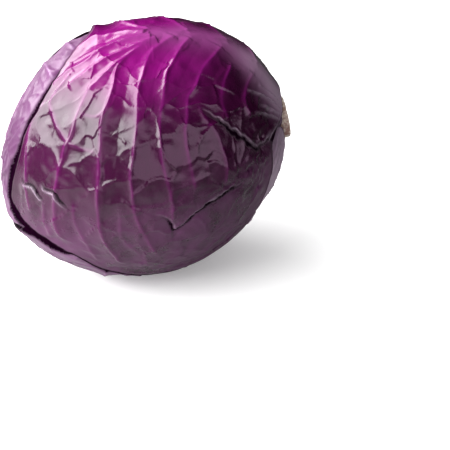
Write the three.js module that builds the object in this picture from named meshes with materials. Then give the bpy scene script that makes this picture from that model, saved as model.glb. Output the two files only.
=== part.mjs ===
// Red cabbage head, whole, lying on its side on a small flat spot.
// Units are millimetres, +Z is up and +X runs toward the cut stem.
import * as THREE from "three";

// Driving dimensions
const headHalfLength = 89.2; // half of the head's long axis
const headHalfWidth = 75.8; // half of its greatest width
const stemEndFullness = 1.9; // 2 is an ellipse, less is more pointed
const crownEndFullness = 1.83;
const longAxisTurn = 8.9; // degrees the long axis is turned about +Z
const longAxisLift = 23.4; // degrees it rises toward the stem
const stemLift = 10; // degrees the stem rises above the floor
const restPressed = 2.8; // depth of the flat spot the head lies on
const pressBlend = 2.6; // softness of the flat spot inside the head

const laminaThickness = 1.1; // thin part of a wrapper leaf
const baseThickening = 2.4; // added where a leaf clasps the stem
const baseReach = 52; // degrees from the stem where thickening ends
const leafGap = 1.25; // air between one leaf and the next
const coverMargin = 8; // how far a leaf keeps its neighbour pressed, mm
const coverFade = 26; // distance over which the neighbour rises again
const midribHeight = 2.2; // rise of an exposed midrib
const midribHalfWidth = 9;

const stumpAngle = 9.6; // half angle of the stem inside the head
const stumpRadius = 12.9; // cut stem where it stands out
const stumpProud = 1.4; // how far the cut stands out
const ballSlack = 1.2; // air between the ball and the innermost leaves
const ballHollow = 50; // where the inner leaves close round the stem
const stumpStart = 66;
const stumpBevel = 1.6;

// Leaves, outermost first
// centre is [angle from the stem, angle round the stem from the top toward
// the front], in degrees; margin is the leaf's outline in the same angles.
const leaves = [
  {
    name: "top_wrapper_leaf",
    colour: 0x6a0a5c,
    centre: [82, 42],
    midrib: { around: 9, from: 14, to: 92 },
    margin: [
      [12, 14], [12, 42], [15, 64], [22, 76], [27, 91], [29, 110],
      [45, 138], [66, 150], [82, 147], [104, 140], [116, 132],
      [127.5, 120.5], [138, 115.5], [147, 112.5], [156, 101],
      [158.7, 82], [157, 70], [151, 54], [143, 37], [133, 28],
      [124, 18.6], [116.5, 10], [109.7, 2.8], [103, -5], [98, -18],
      [93, -36], [80, -58], [58, -66], [34, -62], [15, -46], [12, -16],
    ],
  },
  {
    name: "underside_leaf",
    colour: 0x7b5a7c,
    centre: [84, 158],
    midrib: { around: 126, from: 14, to: 30 },
    margin: [
      [12, 126], [12, 150], [14, 176], [30, 208], [56, 236], [84, 242],
      [112, 236], [140, 232], [158, 214], [163, 176], [160, 142],
      [151, 112], [138, 94], [112, 84], [84, 74], [56, 70], [32, 74],
      [14, 82], [12, 102],
    ],
  },
  {
    name: "back_leaf",
    colour: 0x5f1a5c,
    centre: [84, 266],
    midrib: { around: 268, from: 14, to: 96 },
    margin: [
      [12, 266], [12, 292], [15, 322], [34, 338], [60, 346], [86, 345],
      [112, 340], [136, 332], [154, 314], [163, 268], [156, 222],
      [136, 202], [110, 192], [84, 184], [58, 184], [32, 194],
      [15, 214], [12, 240],
    ],
  },
  {
    name: "crown_side_leaf",
    colour: 0x8f5f92,
    centre: [92, 40],
    margin: [
      [12, 44], [12, 70], [16, 92], [40, 114], [66, 124], [92, 126],
      [118, 124], [142, 126], [160, 138], [171, 172], [173, 250],
      [166, 296], [150, 308], [128, 304], [104, 302], [78, 306],
      [54, 314], [30, 328], [15, 352], [12, 18],
    ],
  },
  {
    name: "lower_back_leaf",
    colour: 0x6c2f6b,
    centre: [86, 196],
    margin: [
      [12, 196], [12, 224], [16, 248], [36, 272], [62, 284], [90, 288],
      [118, 286], [144, 278], [162, 240], [165, 192], [158, 146],
      [140, 118], [114, 106], [88, 104], [60, 108], [34, 120],
      [16, 144], [12, 170],
    ],
  },
  {
    name: "upper_back_leaf",
    colour: 0x571450,
    centre: [86, 322],
    margin: [
      [12, 322], [12, 350], [16, 374], [38, 396], [64, 406], [90, 410],
      [118, 408], [144, 398], [160, 366], [164, 318], [158, 272],
      [140, 246], [114, 234], [88, 232], [60, 236], [34, 248],
      [16, 270], [12, 296],
    ],
  },
];
const leafRings = 10;
const leafSectors = 36;
const rimSteps = 120;
const baseCrowding = 0.26; // crowds a leaf's facets toward its base
const ballRings = 18;
const ballSectors = 30;

// Directions
const rad = THREE.MathUtils.degToRad;
const deg = THREE.MathUtils.radToDeg;

function aimed(turn, lift) {
  const level = Math.cos(rad(lift));
  const x = level * Math.cos(rad(turn));
  const y = level * Math.sin(rad(turn));
  return new THREE.Vector3(x, y, Math.sin(rad(lift)));
}

const longAxis = aimed(longAxisTurn, longAxisLift);
const stemAxis = aimed(0, stemLift);
const topAxis = aimed(180, 90 - stemLift);
const frontAxis = new THREE.Vector3().crossVectors(stemAxis, topAxis);

function headDirection(fromStem, around) {
  const side = Math.sin(rad(fromStem));
  return new THREE.Vector3()
    .addScaledVector(stemAxis, Math.cos(rad(fromStem)))
    .addScaledVector(topAxis, side * Math.cos(rad(around)))
    .addScaledVector(frontAxis, side * Math.sin(rad(around)));
}

function angleFromStem(direction) {
  const along = THREE.MathUtils.clamp(direction.dot(stemAxis), -1, 1);
  return deg(Math.acos(along));
}

function easeOut(t) {
  const s = THREE.MathUtils.clamp(t, 0, 1);
  return 1 - s * s * (3 - 2 * s);
}

// The head's outer form: an ovoid with one fuller end
function ovoidRadius(direction) {
  const along = direction.dot(longAxis);
  const across = Math.sqrt(Math.max(0, 1 - along * along));
  const power = along > 0 ? stemEndFullness : crownEndFullness;
  const sum =
    (Math.abs(along) / headHalfLength) ** power +
    (across / headHalfWidth) ** power;
  return sum ** (-1 / power);
}

function lowestPoint() {
  let lowest = 0;
  for (let lean = 0; lean < 30; lean += 0.5) {
    for (let turn = 0; turn < 360; turn += 5) {
      const direction = aimed(turn, lean - 90);
      lowest = Math.min(lowest, ovoidRadius(direction) * direction.z);
    }
  }
  return lowest;
}

const restHeight = lowestPoint() + restPressed;

// How far the floor pushes a direction's surface in. The outermost surface
// is cut flat; surfaces inside it follow with a soft edge.
function pressedIn(direction, blend) {
  if (direction.z >= -0.05) {
    return 0;
  }
  const excess = ovoidRadius(direction) - restHeight / direction.z;
  return (excess + Math.sqrt(excess * excess + blend * blend)) / 2;
}

// One leaf's outline, as a distance from its centre by bearing
class Outline {
  constructor(leaf) {
    this.centre = headDirection(...leaf.centre);
    const ahead = headDirection(leaf.centre[0] + 90, leaf.centre[1]);
    this.crownward = ahead;
    this.sideways = new THREE.Vector3().crossVectors(this.centre, ahead);
    this.points = leaf.margin
      .map(([fromStem, around]) => this.polar(headDirection(fromStem, around)))
      .sort((a, b) => a.bearing - b.bearing);
    this.rim = [];
    for (let step = 0; step < rimSteps; step += 1) {
      const bearing = 2 * Math.PI * (step / rimSteps) - Math.PI;
      this.rim.push(this.direction(this.edge(bearing), bearing));
    }
  }

  polar(direction) {
    const reach = Math.acos(
      THREE.MathUtils.clamp(direction.dot(this.centre), -1, 1),
    );
    const bearing = Math.atan2(
      direction.dot(this.sideways),
      direction.dot(this.crownward),
    );
    return { reach, bearing };
  }

  direction(reach, bearing) {
    return new THREE.Vector3()
      .addScaledVector(this.centre, Math.cos(reach))
      .addScaledVector(this.crownward, Math.sin(reach) * Math.cos(bearing))
      .addScaledVector(this.sideways, Math.sin(reach) * Math.sin(bearing));
  }

  edge(bearing) {
    const points = this.points;
    const count = points.length;
    let next = points.findIndex((point) => point.bearing > bearing);
    next = next < 0 ? 0 : next;
    const a = points[(next + count - 1) % count];
    const b = points[next];
    const turn = 2 * Math.PI;
    const span = (b.bearing - a.bearing + turn) % turn;
    const t = ((bearing - a.bearing + turn) % turn) / span;
    return a.reach + (b.reach - a.reach) * (1 - easeOut(t));
  }

  // Millimetres outside the leaf's edge, nought inside it.
  beyondEdge(direction) {
    const { reach, bearing } = this.polar(direction);
    if (reach < this.edge(bearing)) {
      return 0;
    }
    const nearest = Math.max(...this.rim.map((p) => p.dot(direction)));
    return Math.acos(Math.min(1, nearest)) * headHalfWidth;
  }
}

const outlines = leaves.map((leaf) => new Outline(leaf));

// Layers
function leafThickness(direction) {
  const nearStem = easeOut((angleFromStem(direction) - 12) / (baseReach - 12));
  return laminaThickness + baseThickening * nearStem;
}

function coveredBy(index, direction) {
  const beyond = outlines[index].beyondEdge(direction);
  return easeOut((beyond - coverMargin) / coverFade);
}

// Depth of a leaf's outer face under the head's outer form.
function depthOf(index, direction) {
  const layer = leafThickness(direction) + leafGap;
  let depth = 0;
  for (let outer = 0; outer < index; outer += 1) {
    depth += layer * coveredBy(outer, direction);
  }
  return depth;
}

function midribRise(leaf, direction) {
  if (!leaf.midrib) {
    return 0;
  }
  const { around, from, to } = leaf.midrib;
  const fromStem = angleFromStem(direction);
  const t = (fromStem - from) / (to - from);
  if (t > 1) {
    return 0;
  }
  const crest = headDirection(fromStem, around);
  const off = crest.angleTo(direction) * headHalfWidth;
  return midribHeight * easeOut(off / midribHalfWidth) * easeOut(t);
}

// Mesh making
// Closes a shell from two sheets of points that share one layout: a middle
// point, then rings of equal length from the middle out.
function shellGeometry(outside, inside, rings, sectors) {
  const positions = [...outside, ...inside].flatMap((p) => [p.x, p.y, p.z]);
  const half = outside.length;
  const indices = [];
  const at = (ring, sector) => 1 + (ring - 1) * sectors + (sector % sectors);
  const face = (a, b, c) => {
    indices.push(a, b, c);
    indices.push(half + a, half + c, half + b);
  };
  for (let s = 0; s < sectors; s += 1) {
    face(0, at(1, s), at(1, s + 1));
    for (let r = 1; r < rings; r += 1) {
      face(at(r, s), at(r + 1, s), at(r + 1, s + 1));
      face(at(r, s), at(r + 1, s + 1), at(r, s + 1));
    }
    const a = at(rings, s);
    const b = at(rings, s + 1);
    indices.push(a, half + a, half + b);
    indices.push(a, half + b, b);
  }
  return indexedGeometry(positions, indices);
}

function indexedGeometry(positions, indices) {
  const geometry = new THREE.BufferGeometry();
  const attribute = new THREE.Float32BufferAttribute(positions, 3);
  geometry.setAttribute("position", attribute);
  geometry.setIndex(indices);
  geometry.computeVertexNormals();
  return geometry;
}

function leafGeometry(index) {
  const leaf = leaves[index];
  const outline = outlines[index];
  const outside = [];
  const inside = [];
  const place = (reach, bearing) => {
    const direction = outline.direction(reach, bearing);
    const form = ovoidRadius(direction) - depthOf(index, direction);
    const flat = pressedIn(direction, index === 1 ? 0 : pressBlend);
    const rise = midribRise(leaf, direction);
    const inner = form - leafThickness(direction);
    const innerFlat = pressedIn(direction, pressBlend);
    outside.push(direction.clone().multiplyScalar(form - flat + rise));
    inside.push(direction.clone().multiplyScalar(inner - innerFlat));
  };
  place(0, 0);
  for (let r = 1; r <= leafRings; r += 1) {
    for (let s = 0; s < leafSectors; s += 1) {
      const even = (2 * Math.PI * s) / leafSectors;
      let bearing = even + baseCrowding * Math.sin(even);
      bearing = bearing > Math.PI ? bearing - 2 * Math.PI : bearing;
      place((outline.edge(bearing) * r) / leafRings, bearing);
    }
  }
  return shellGeometry(outside, inside, leafRings, leafSectors);
}

function ballRadius(direction) {
  const form = ovoidRadius(direction) - depthOf(leaves.length, direction);
  return form - pressedIn(direction, pressBlend) - ballSlack;
}

// The tight ball of unopened leaves, hollowed at one end for the stem.
function ballGeometry() {
  const positions = [];
  const indices = [];
  const push = (v) => positions.push(v.x, v.y, v.z);
  push(stemAxis.clone().multiplyScalar(ballHollow));
  for (let r = 0; r <= ballRings; r += 1) {
    const fromStem = 13 + ((172 - 13) * r) / ballRings;
    for (let s = 0; s < ballSectors; s += 1) {
      const direction = headDirection(fromStem, (360 * s) / ballSectors);
      push(direction.clone().multiplyScalar(ballRadius(direction)));
    }
  }
  const crown = headDirection(180, 0);
  push(crown.clone().multiplyScalar(ballRadius(crown)));
  const last = 1 + (ballRings + 1) * ballSectors;
  const at = (ring, sector) => 1 + ring * ballSectors + (sector % ballSectors);
  for (let s = 0; s < ballSectors; s += 1) {
    indices.push(0, at(0, s), at(0, s + 1));
    for (let r = 0; r < ballRings; r += 1) {
      indices.push(at(r, s), at(r + 1, s), at(r + 1, s + 1));
      indices.push(at(r, s), at(r + 1, s + 1), at(r, s + 1));
    }
    indices.push(at(ballRings, s), last, at(ballRings, s + 1));
  }
  return indexedGeometry(positions, indices);
}

function stumpGeometry() {
  const surface = ovoidRadius(stemAxis);
  const spread = Math.sin(rad(stumpAngle));
  const profile = [
    new THREE.Vector2(0, stumpStart),
    new THREE.Vector2(stumpStart * spread, stumpStart),
    new THREE.Vector2(stumpRadius, surface - 3),
    new THREE.Vector2(stumpRadius, surface + stumpProud - stumpBevel),
    new THREE.Vector2(stumpRadius - stumpBevel, surface + stumpProud),
    new THREE.Vector2(0, surface + stumpProud),
  ];
  const geometry = new THREE.LatheGeometry(profile, 28);
  const upright = new THREE.Vector3(0, 1, 0);
  const turn = new THREE.Quaternion().setFromUnitVectors(upright, stemAxis);
  return geometry.applyQuaternion(turn);
}

// Assembly
function piece(name, geometry, colour, roughness) {
  const material = new THREE.MeshStandardMaterial({
    color: colour,
    roughness,
    metalness: 0,
  });
  const mesh = new THREE.Mesh(geometry, material);
  mesh.name = name;
  return mesh;
}

const head = new THREE.Group();
leaves.forEach((leaf, index) => {
  head.add(piece(leaf.name, leafGeometry(index), leaf.colour, 0.38));
});
head.add(piece("inner_head", ballGeometry(), 0x5a1a55, 0.45));
head.add(piece("cut_stem", stumpGeometry(), 0xe6ddd2, 0.8));

// Stand the head on its flat spot, centred over the origin.
const box = new THREE.Box3().setFromObject(head, true);
const middle = box.getCenter(new THREE.Vector3());
head.position.set(-middle.x, -middle.y, -box.min.z);

const redCabbage = new THREE.Group();
redCabbage.add(head);
export default redCabbage;
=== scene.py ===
import math
from functools import partial

import bpy
import numpy as np
from mathutils import Matrix, Vector, noise


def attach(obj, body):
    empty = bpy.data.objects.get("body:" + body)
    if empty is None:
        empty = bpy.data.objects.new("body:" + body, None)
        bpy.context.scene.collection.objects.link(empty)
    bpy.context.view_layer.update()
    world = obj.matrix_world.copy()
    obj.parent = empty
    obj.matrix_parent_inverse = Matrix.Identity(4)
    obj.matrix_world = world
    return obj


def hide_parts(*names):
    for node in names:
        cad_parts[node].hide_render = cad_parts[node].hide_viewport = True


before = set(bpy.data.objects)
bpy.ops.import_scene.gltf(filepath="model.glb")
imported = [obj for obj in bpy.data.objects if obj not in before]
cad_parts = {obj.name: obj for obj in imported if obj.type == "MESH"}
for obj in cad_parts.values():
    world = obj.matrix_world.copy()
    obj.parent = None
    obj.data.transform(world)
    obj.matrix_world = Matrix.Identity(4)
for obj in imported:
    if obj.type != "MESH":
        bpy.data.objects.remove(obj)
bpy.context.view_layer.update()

# Red cabbage head lying on its side. Lengths in this script are millimetres,
# angles are degrees; meshes are written in metres in the frame's own axes.
mm = 0.001


def easeOut(t):
    # 1 at nought and 0 from one on, smooth at both ends
    s = np.clip(t, 0.0, 1.0)
    return 1.0 - s * s * (3.0 - 2.0 * s)


def easeIn(t):
    return 1.0 - easeOut(t)


def bump(t):
    # a soft hump, 1 at nought and almost gone at two
    return np.exp(-t * t)


def unitVector(turn, lift):
    a, b = math.radians(turn), math.radians(lift)
    return np.array([math.cos(b) * math.cos(a), math.cos(b) * math.sin(a), math.sin(b)])


# the head's outer form, an ovoid with one fuller end
head = {
    "halfLength": 87.4,      # half of the long axis
    "halfWidth": 74.1,       # half of the greatest width
    "stemFullness": 1.9,     # 2 is an ellipse, less is more pointed
    "crownFullness": 1.83,
    "longAxisTurn": 8.9,
    "longAxisLift": 23.4,
    "stemLift": 10.0,        # the stem rises this much above level
    "centre": (-2.75, -0.10, 73.10),
    "flatBlend": 2.4,        # softness of the pressed spot inside the head
    "leastDown": 0.05,       # directions flatter than this never meet the floor
}
longAxis = unitVector(head["longAxisTurn"], head["longAxisLift"])
stemAxis = unitVector(0, head["stemLift"])
topAxis = unitVector(180, 90 - head["stemLift"])
frontAxis = np.cross(stemAxis, topAxis)
headCentre = np.array(head["centre"])
headRadius = head["halfWidth"]


def headDirection(fromStem, around):
    # angle from the stem, and angle round the stem from the top toward the front
    t = np.radians(np.asarray(fromStem, float))[..., None]
    a = np.radians(np.asarray(around, float))[..., None]
    side = np.cos(a) * topAxis + np.sin(a) * frontAxis
    return np.cos(t) * stemAxis + np.sin(t) * side


def angleFromStem(directions):
    return np.degrees(np.arccos(np.clip(directions @ stemAxis, -1, 1)))


def angleAround(directions):
    return np.degrees(np.arctan2(directions @ frontAxis, directions @ topAxis))


def ovoidRadius(directions):
    along = directions @ longAxis
    across = np.sqrt(np.clip(1 - along * along, 0, 1))
    power = np.where(along > 0, head["stemFullness"], head["crownFullness"])
    total = (np.abs(along) / head["halfLength"]) ** power
    total = total + (across / head["halfWidth"]) ** power
    return total ** (-1 / power)


def pressedIn(directions, radius, blend):
    # how far the floor pushes a surface in; a blend of nought leaves a true flat
    down = np.minimum(directions[:, 2], -head["leastDown"])
    excess = radius + headCentre[2] / down
    pushed = (excess + np.sqrt(excess * excess + blend * blend)) / 2
    return np.where(directions[:, 2] < -head["leastDown"], pushed, 0.0)


def awayFrom(directions, fromStem, around):
    # millimetres over the head from one spot of it
    cosine = np.clip(directions @ headDirection(fromStem, around), -1, 1)
    return np.arccos(cosine) * headRadius


def noiseAt(points, size, seed):
    # smooth noise of about one unit, its lumps about size millimetres across
    shift = Vector((seed * 17.3, seed * 5.1, seed * 9.7))
    return np.array([noise.noise(Vector(p) / size + shift) for p in points])


outlineForm = {
    "steps": 720,            # points round the edge
    "waves": ((1.5, 16.0), (0.6, 5.0)),    # height and size of the raggedness
    "smoothWithin": 14.0,    # degrees from the stem where the edge runs clean
    "batch": 8192,
}


class LeafOutline:
    # a leaf's edge, as a reach from its centre by bearing
    ringRadius = 75.0        # the ring along which the raggedness is drawn

    def __init__(self, leaf, seed):
        fromStem, around = leaf["centre"]
        self.centre = headDirection(fromStem, around)
        self.crownward = headDirection(fromStem + 90, around)
        self.sideways = np.cross(self.centre, self.crownward)
        margin = np.array(leaf["margin"], float)
        reach, bearing = self.polar(headDirection(margin[:, 0], margin[:, 1]))
        order = np.argsort(bearing)
        self.knotBearing = bearing[order]
        self.knotReach = reach[order]
        self.ragged = leaf.get("ragged", 1.0)
        self.seed = seed
        self.bearings = np.linspace(-math.pi, math.pi, outlineForm["steps"], endpoint=False)
        self.reaches = self.smoothEdge(self.bearings)
        self.rim = self.direction(self.reaches, self.bearings)

    def polar(self, directions):
        reach = np.arccos(np.clip(directions @ self.centre, -1, 1))
        bearing = np.arctan2(directions @ self.sideways, directions @ self.crownward)
        return reach, bearing

    def direction(self, reach, bearing):
        reach = np.asarray(reach)[..., None]
        bearing = np.asarray(bearing)[..., None]
        across = np.cos(bearing) * self.crownward + np.sin(bearing) * self.sideways
        return np.cos(reach) * self.centre + np.sin(reach) * across

    def smoothEdge(self, bearing):
        # a smooth closed curve through the margin's points, with a ragged edge
        turn = 2 * math.pi
        b = np.concatenate([self.knotBearing - turn, self.knotBearing, self.knotBearing + turn])
        r = np.tile(self.knotReach, 3)
        slope = np.gradient(r, b)
        i = np.clip(np.searchsorted(b, bearing, side="right") - 1, 0, len(b) - 2)
        span = b[i + 1] - b[i]
        t = (bearing - b[i]) / span
        edge = (
            (2 * t**3 - 3 * t**2 + 1) * r[i] + (t**3 - 2 * t**2 + t) * span * slope[i]
            + (3 * t**2 - 2 * t**3) * r[i + 1] + (t**3 - t**2) * span * slope[i + 1]
        )
        ring = np.stack([np.cos(bearing), np.sin(bearing), 0 * bearing], -1) * self.ringRadius
        wave = sum(
            size * noiseAt(ring, length, self.seed + i)
            for i, (size, length) in enumerate(outlineForm["waves"])
        )
        clean = outlineForm["smoothWithin"]
        fromStem = angleFromStem(self.direction(edge, bearing))
        return edge + self.ragged * wave * easeIn((fromStem - clean) / clean) / headRadius

    def edge(self, bearing):
        return np.interp(bearing, self.bearings, self.reaches, period=2 * math.pi)

    def insideEdge(self, directions):
        # millimetres to the edge, positive inside the leaf and negative outside
        reach, bearing = self.polar(directions)
        nearest = np.empty(len(directions))
        batch = outlineForm["batch"]
        for start in range(0, len(directions), batch):
            part = directions[start:start + batch]
            nearest[start:start + batch] = (part @ self.rim.T).max(axis=1)
        away = np.sqrt(np.clip(2 - 2 * nearest, 0, 4)) * headRadius
        return np.where(reach < self.edge(bearing), away, -away)


class Curve:
    # a smooth line over the head through a few points of (from stem, around)
    step = 1.2               # millimetres between the line's own points
    batch = 16384

    def __init__(self, points, start=1.0, end=1.0):
        knots = np.array(points, float)
        knots = headDirection(knots[:, 0], knots[:, 1])
        padded = np.vstack([2 * knots[0] - knots[1], knots, 2 * knots[-1] - knots[-2]])
        line = []
        for i in range(1, len(padded) - 2):
            a, b, c, d = padded[i - 1:i + 3]
            steps = max(2, int(np.linalg.norm(c - b) * headRadius / self.step))
            t = np.linspace(0, 1, steps, endpoint=False)[:, None]
            line.append(0.5 * (
                2 * b + (c - a) * t + (2 * a - 5 * b + 4 * c - d) * t**2
                + (3 * b - a - 3 * c + d) * t**3
            ))
        line = np.vstack(line + [padded[-2][None]])
        self.line = line / np.linalg.norm(line, axis=1, keepdims=True)
        self.tangent = np.gradient(self.line, axis=0)
        self.tangent /= np.linalg.norm(self.tangent, axis=1, keepdims=True)
        self.strength = np.linspace(start, end, len(self.line))

    def measure(self, directions, within=30.0):
        # signed distance in millimetres, place along the line (0 to 1), strength
        far = np.full(len(directions), 999.0)
        place = np.zeros(len(directions))
        strength = np.zeros(len(directions))
        middle = self.line.mean(axis=0)
        middle /= np.linalg.norm(middle)
        spread = np.arccos(np.clip((self.line @ middle).min(), -1, 1)) + within / headRadius
        near = np.nonzero(directions @ middle > math.cos(min(spread, math.pi)))[0]
        for start in range(0, len(near), self.batch):
            some = near[start:start + self.batch]
            d = directions[some]
            i = (d @ self.line.T).argmax(axis=1)
            offset = d - self.line[i]
            tangent = self.tangent[i]
            along = np.einsum("ij,ij->i", offset, tangent)
            step = self.step / headRadius
            over = offset - np.clip(along, -step, step)[:, None] * tangent
            side = np.einsum("ij,ij->i", np.cross(tangent, over), d)
            distance = np.linalg.norm(over, axis=1) * headRadius
            far[some] = np.where(side >= 0, distance, -distance)
            place[some] = i / (len(self.line) - 1)
            strength[some] = self.strength[i]
        return far, place, strength


# relief of a leaf's blade, in millimetres
relief = {
    "veinHeight": 1.9,       # how high the blade is drawn up along a side vein
    "veinReach": 6.5,        # how quickly it falls away to the panel between veins
    "cordHeight": 0.6,       # the vein's own thin cord
    "cordWidth": 1.0,
    "pleatHeight": 2.0,      # narrow pleats of a leaf base, beside the stem
    "pleatWidth": 0.8,
    "pleatReach": 5.0,       # the blade sinks between pleats within this reach
    "pleatSink": 0.8,
    "ribWidth": 9.0,
    "ribHeight": 1.6,
    "netHeight": 0.4,        # creases of the net between the veins
    "netReach": 2.2,
    "netCell": 19.0,         # size of the net's cells
    "netStretch": 0.7,
    "netTilt": 0.6,          # each cell leans its own way
    "netWarp": ((9.0, 26.0), (2.5, 8.0)),  # how far and over what size cells are bent
    "crumple": 0.75,         # loose waviness of the blade
    "crumpleSize": 13.0,
    "settle": 1.35,          # lowers the blade so that its ridges reach the head's form
}


def netField(x, y, cell, stretch, seed):
    # jittered cells: distance to the nearest cell wall, and the lean of each cell
    rng = np.random.default_rng(seed)
    u, v = x / cell, y / (cell * stretch)
    iu, iv = np.floor(u).astype(int), np.floor(v).astype(int)
    low = np.array([iu.min() - 2, iv.min() - 2])
    size = (iu.max() - low[0] + 4, iv.max() - low[1] + 4)
    jitter = rng.random(size + (3,))
    first = np.full(len(x), 9.0)
    second = np.full(len(x), 9.0)
    value = np.zeros(len(x))
    tiltX, tiltY = np.zeros(len(x)), np.zeros(len(x))
    for du in (-1, 0, 1):
        for dv in (-1, 0, 1):
            cu, cv = iu + du, iv + dv
            j = jitter[cu - low[0], cv - low[1]]
            ox, oy = u - cu - j[:, 0], v - cv - j[:, 1]
            d = np.hypot(ox, oy)
            nearer = d < first
            second = np.where(nearer, first, np.minimum(second, d))
            value = np.where(nearer, j[:, 2], value)
            tiltX = np.where(nearer, ox, tiltX)
            tiltY = np.where(nearer, oy, tiltY)
            first = np.where(nearer, d, first)
    angle = value * 2 * math.pi
    tilt = tiltX * np.cos(angle) + tiltY * np.sin(angle)
    return (second - first) * cell / 2, tilt


ruledVeins = {
    "first": 24.0, "firstSpread": 5.0,     # degrees from the stem
    "last": 128.0,
    "apart": 15.0, "apartSpread": 6.0,
    "sweep": 10.0, "sweepSpread": 14.0,    # how far a vein leans toward the crown
    "length": 92.0, "lengthSpread": 10.0, "shorter": 0.25,
    "bend": 5.0,
    "endStrength": 0.5,
}


def ruleVeins(leaf, seed):
    # side veins leave the midrib by turns and sweep toward the crown
    rule = ruledVeins
    rng = np.random.default_rng(seed)
    around = leaf["midrib"]
    veins = []
    for side in (-1, 1):
        fromStem = rule["first"] + rule["firstSpread"] * rng.random()
        while fromStem < rule["last"]:
            sweep = rule["sweep"] + rule["sweepSpread"] * rng.random()
            length = rule["length"] - rule["shorter"] * abs(fromStem - 80)
            length += rule["lengthSpread"] * rng.random()
            bend = rule["bend"] * rng.random()
            points = [
                (fromStem + sweep * t**1.5 + bend * math.sin(3 * t), around + side * length * t)
                for t in (0, 0.2, 0.4, 0.6, 0.8, 1.0)
            ]
            veins.append({"points": points, "end": rule["endStrength"]})
            fromStem += rule["apart"] + rule["apartSpread"] * rng.random()
    return veins


def veinRelief(leaf, directions):
    # the blade drawn up along its side veins, and the thin cord of each vein
    drawn = np.zeros(len(directions))
    cord = np.zeros(len(directions))
    for vein in leaf["veins"]:
        curve = Curve(vein["points"], vein.get("start", 1.0), vein.get("end", 0.6))
        distance, place, strength = curve.measure(directions)
        fade = strength * easeOut((place - 0.93) / 0.07) * easeIn(place / 0.04 + 0.5)
        away = np.abs(distance)
        height = vein.get("height", 1.0) * fade * np.exp(-away / relief["veinReach"])
        drawn = np.maximum(drawn, height) + 0.2 * np.minimum(drawn, height)
        cord = np.maximum(cord, fade * bump(away / relief["cordWidth"]))
    return drawn, cord


def pleatRelief(leaf, directions):
    # narrow ridges of a leaf base, with the blade sunk a little between them
    ridge = np.zeros(len(directions))
    sunk = np.zeros(len(directions))
    for line in leaf.get("pleats", []):
        distance, _, strength = Curve(line, 1.0, 0.0).measure(directions)
        strength = np.sqrt(strength)
        ridge = np.maximum(ridge, strength * bump(distance / relief["pleatWidth"]))
        sunk = np.maximum(sunk, easeOut(np.abs(distance) / relief["pleatReach"]) * strength)
    return ridge, relief["pleatHeight"] * ridge - relief["pleatSink"] * sunk


def netRelief(leaf, outline, directions, seed):
    # creases of the net between the veins, and the lean of its cells
    points = directions * headRadius
    reach, bearing = outline.polar(directions)
    x, y = reach * np.cos(bearing) * headRadius, reach * np.sin(bearing) * headRadius
    for (bend, size), draw in zip(relief["netWarp"], (3, 1)):
        x = x + bend * noiseAt(points, size, seed + draw)
        y = y + bend * noiseAt(points, size, seed + draw + 1)
    cell = leaf.get("netSize", relief["netCell"])
    wall, tilt = netField(x, y, cell, relief["netStretch"], seed)
    return np.exp(-wall / relief["netReach"]), tilt


def tearRelief(leaf, directions, seed):
    # tears: one lip lies over the other, with a crack between them; the crack is coloured with
    # painted shade and the over lip with a painted highlight
    height = np.zeros(len(directions))
    crevice = np.zeros(len(directions))
    lip = np.zeros(len(directions))
    for tear in leaf.get("tears", []):
        curve = Curve(tear["points"], tear.get("start", 1.0))
        distance, place, strength = curve.measure(directions)
        distance = distance + tear["jag"] * noiseAt(directions * headRadius, 4.0, seed + 7)
        fade = strength * easeIn(place / 0.3) * easeOut((place - 0.7) / 0.3)
        over = easeIn((distance + 0.35) / 0.7)      # 1 on the side that lies over
        raised = tear["height"] * np.exp(-np.abs(distance) / tear["reach"]) * over
        sunk = tear["depth"] * np.exp(-np.abs(distance) / tear.get("sunkReach", 2.5)) * (1 - over)
        height = height + fade * (raised - sunk)
        # painted shade along the crack, and a painted highlight on the over lip
        half = tear["darkHalf"]
        dark = easeOut((np.abs(distance + half) - 0.7 * half) / (0.6 * half + 0.3))
        crevice = np.maximum(crevice, fade * dark)
        lip = np.maximum(lip, tear.get("pale", 0.8) * fade * bump((distance - 0.7) / 0.5))
    return height, crevice, lip


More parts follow.
